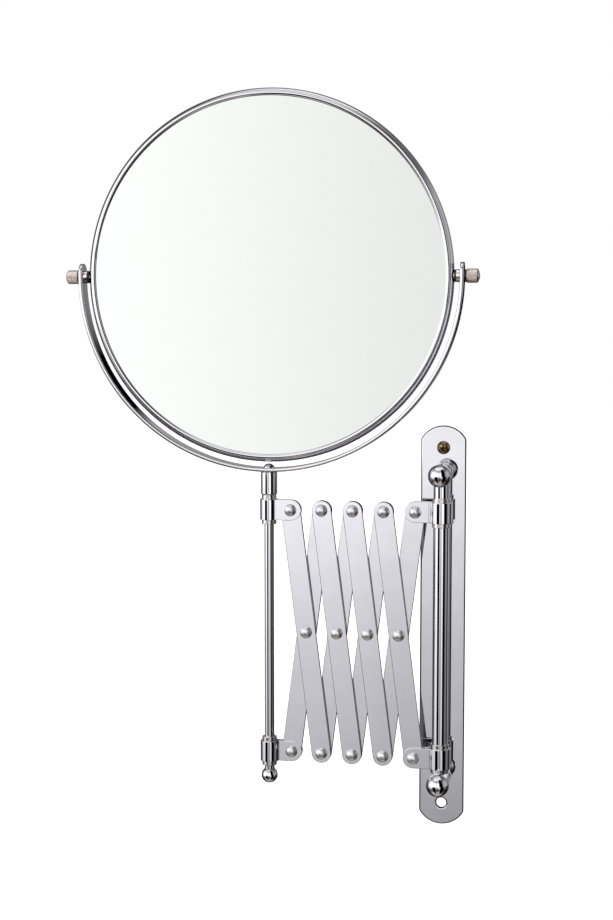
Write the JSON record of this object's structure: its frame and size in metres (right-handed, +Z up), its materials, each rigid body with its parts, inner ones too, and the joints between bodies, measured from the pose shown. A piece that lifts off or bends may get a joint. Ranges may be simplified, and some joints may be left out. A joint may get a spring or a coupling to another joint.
{
  "type": "extendable shaving mirror",
  "caption": "Round two-sided shaving mirror in a tilting yoke, carried by a folding scissor arm that swings on a wall bracket.",
  "frame": {"origin": "centre of the wall plate's back face", "axes": "+Z up, +Y into the wall, +X to the right seen from the room; the arm is folded to -X at rest"},
  "size_m": [0.2376, 0.0574, 0.4177],
  "materials": {
    "chrome_plate": "polished",
    "chrome_turned": "polished",
    "antique_brass": "antique",
    "chrome_links": "polished",
    "chrome_rivets": "satin",
    "chrome_straps": "polished",
    "nickel_bushings": "satin",
    "chrome_yoke": "polished",
    "chrome_ring": "polished",
    "mirror_glass": "silvered",
    "packing_foam": "matte",
    "steel_studs": "machined",
    "nickel_knobs": "knurled nickel",
    "black_washers": "matte"
  },
  "bodies": {
    "wall_bracket": {"wall_plate": "chrome_plate", "wall_screw": "antique_brass", "upper_stand_off": "chrome_turned", "lower_stand_off": "chrome_turned", "upper_ball_head": "chrome_turned", "lower_ball_head": "chrome_turned", "wall_rod": "chrome_turned"},
    "lower_wall_clip": {"lower_wall_clip_strap": "chrome_straps", "lower_wall_clip_bushing": "nickel_bushings", "lower_wall_clip_rivet": "chrome_rivets"},
    "upper_wall_clip": {"upper_wall_clip_strap": "chrome_straps", "upper_wall_clip_bushing": "nickel_bushings", "upper_wall_clip_rivet": "chrome_rivets"},
    "lower_head_clip": {"lower_head_clip_strap": "chrome_straps", "lower_head_clip_bushing": "nickel_bushings", "lower_head_clip_rivet": "chrome_rivets"},
    "upper_head_clip": {"upper_head_clip_strap": "chrome_straps", "upper_head_clip_bushing": "nickel_bushings", "upper_head_clip_rivet": "chrome_rivets"},
    "front_link_1": {"front_link_1": "chrome_links", "link_rivets_1": "chrome_rivets"},
    "rear_link_1": {"rear_link_1": "chrome_links"},
    "front_link_2": {"front_link_2": "chrome_links", "link_rivets_2": "chrome_rivets"},
    "rear_link_2": {"rear_link_2": "chrome_links"},
    "front_link_3": {"front_link_3": "chrome_links", "link_rivets_3": "chrome_rivets"},
    "rear_link_3": {"rear_link_3": "chrome_links"},
    "front_link_4": {"front_link_4": "chrome_links", "link_rivets_4": "chrome_rivets"},
    "rear_link_4": {"rear_link_4": "chrome_links"},
    "head": {"head_rod": "chrome_turned", "head_sleeve": "chrome_turned", "finial": "chrome_turned", "yoke": "chrome_yoke", "cap_nut": "chrome_turned"},
    "mirror": {"mirror_ring": "chrome_ring", "plain_glass": "mirror_glass", "magnifying_glass": "mirror_glass", "packing_ring": "packing_foam", "pivot_stud_left": "steel_studs", "pivot_inner_washer_left": "black_washers", "pivot_spacer_left": "nickel_knobs", "pivot_washer_left": "black_washers", "pivot_stud_right": "steel_studs", "pivot_inner_washer_right": "black_washers", "pivot_spacer_right": "nickel_knobs", "pivot_washer_right": "black_washers"},
    "knob_left": {"knob_left": "nickel_knobs"},
    "knob_right": {"knob_right": "nickel_knobs"}
  },
  "joints": [
    {"name": "arm_swing", "type": "hinge", "parent": "wall_bracket", "child": "lower_wall_clip", "pos_m": [0, -0.01262, 0], "axis": [0, 0, 1], "range_deg": [0, 180]},
    {"name": "arm_extend", "type": "hinge", "parent": "lower_wall_clip", "child": "front_link_1", "pos_m": [-0.0147, -0.01262, -0.07339], "axis": [0, -1, 0], "range_deg": [-2.3, 50]},
    {"name": "centre_pivot_1", "type": "hinge", "parent": "front_link_1", "child": "rear_link_1", "pos_m": [-0.02354, -0.01262, -0.00345], "axis": [0, -1, 0], "range_deg": [-102, 6.6]},
    {"name": "upper_wall_pivot", "type": "hinge", "parent": "rear_link_1", "child": "upper_wall_clip", "pos_m": [-0.0147, -0.01262, 0.06649], "axis": [0, -1, 0], "range_deg": [-3.7, 51.4]},
    {"name": "upper_pivot_1", "type": "hinge", "parent": "front_link_1", "child": "rear_link_2", "pos_m": [-0.03237, -0.01262, 0.06649], "axis": [0, -1, 0], "range_deg": [-101.4, 6]},
    {"name": "centre_pivot_2", "type": "hinge", "parent": "rear_link_2", "child": "front_link_2", "pos_m": [-0.04121, -0.01262, -0.00345], "axis": [0, -1, 0], "range_deg": [-6.6, 102]},
    {"name": "upper_pivot_2", "type": "hinge", "parent": "front_link_2", "child": "rear_link_3", "pos_m": [-0.05004, -0.01262, 0.06649], "axis": [0, -1, 0], "range_deg": [-101.4, 6]},
    {"name": "centre_pivot_3", "type": "hinge", "parent": "rear_link_3", "child": "front_link_3", "pos_m": [-0.05888, -0.01262, -0.00345], "axis": [0, -1, 0], "range_deg": [-6.6, 102]},
    {"name": "upper_pivot_3", "type": "hinge", "parent": "front_link_3", "child": "rear_link_4", "pos_m": [-0.06772, -0.01262, 0.06649], "axis": [0, -1, 0], "range_deg": [-101.4, 6]},
    {"name": "centre_pivot_4", "type": "hinge", "parent": "rear_link_4", "child": "front_link_4", "pos_m": [-0.07655, -0.01262, -0.00345], "axis": [0, -1, 0], "range_deg": [-6.6, 102]},
    {"name": "upper_head_pivot", "type": "hinge", "parent": "front_link_4", "child": "upper_head_clip", "pos_m": [-0.08539, -0.01262, 0.06649], "axis": [0, -1, 0], "range_deg": [-51.4, 3.7]},
    {"name": "lower_head_pivot", "type": "hinge", "parent": "rear_link_4", "child": "lower_head_clip", "pos_m": [-0.08539, -0.01262, -0.07339], "axis": [0, -1, 0], "range_deg": [-3.7, 51.4]},
    {"name": "head_swivel", "type": "hinge", "parent": "upper_head_clip", "child": "head", "pos_m": [-0.09829, -0.01262, 0.06649], "axis": [0, 0, 1], "continuous": true},
    {"name": "mirror_tilt", "type": "hinge", "parent": "head", "child": "mirror", "pos_m": [-0.09829, -0.01262, 0.19829], "axis": [1, 0, 0], "continuous": true},
    {"name": "knob_left_turn", "type": "hinge", "parent": "mirror", "child": "knob_left", "pos_m": [-0.21349, -0.01262, 0.19829], "axis": [1, 0, 0], "range_deg": [0, 540]},
    {"name": "knob_right_turn", "type": "hinge", "parent": "mirror", "child": "knob_right", "pos_m": [0.01691, -0.01262, 0.19829], "axis": [-1, 0, 0], "range_deg": [0, 540]}
  ],
  "couplings": [
    {"joint": "centre_pivot_1", "follows": "arm_extend", "ratio": -2},
    {"joint": "upper_wall_pivot", "follows": "arm_extend", "ratio": 1},
    {"joint": "upper_pivot_1", "follows": "arm_extend", "ratio": -2},
    {"joint": "centre_pivot_2", "follows": "arm_extend", "ratio": 2},
    {"joint": "upper_pivot_2", "follows": "arm_extend", "ratio": -2},
    {"joint": "centre_pivot_3", "follows": "arm_extend", "ratio": 2},
    {"joint": "upper_pivot_3", "follows": "arm_extend", "ratio": -2},
    {"joint": "centre_pivot_4", "follows": "arm_extend", "ratio": 2},
    {"joint": "upper_head_pivot", "follows": "arm_extend", "ratio": -1},
    {"joint": "lower_head_pivot", "follows": "arm_extend", "ratio": 1}
  ]
}
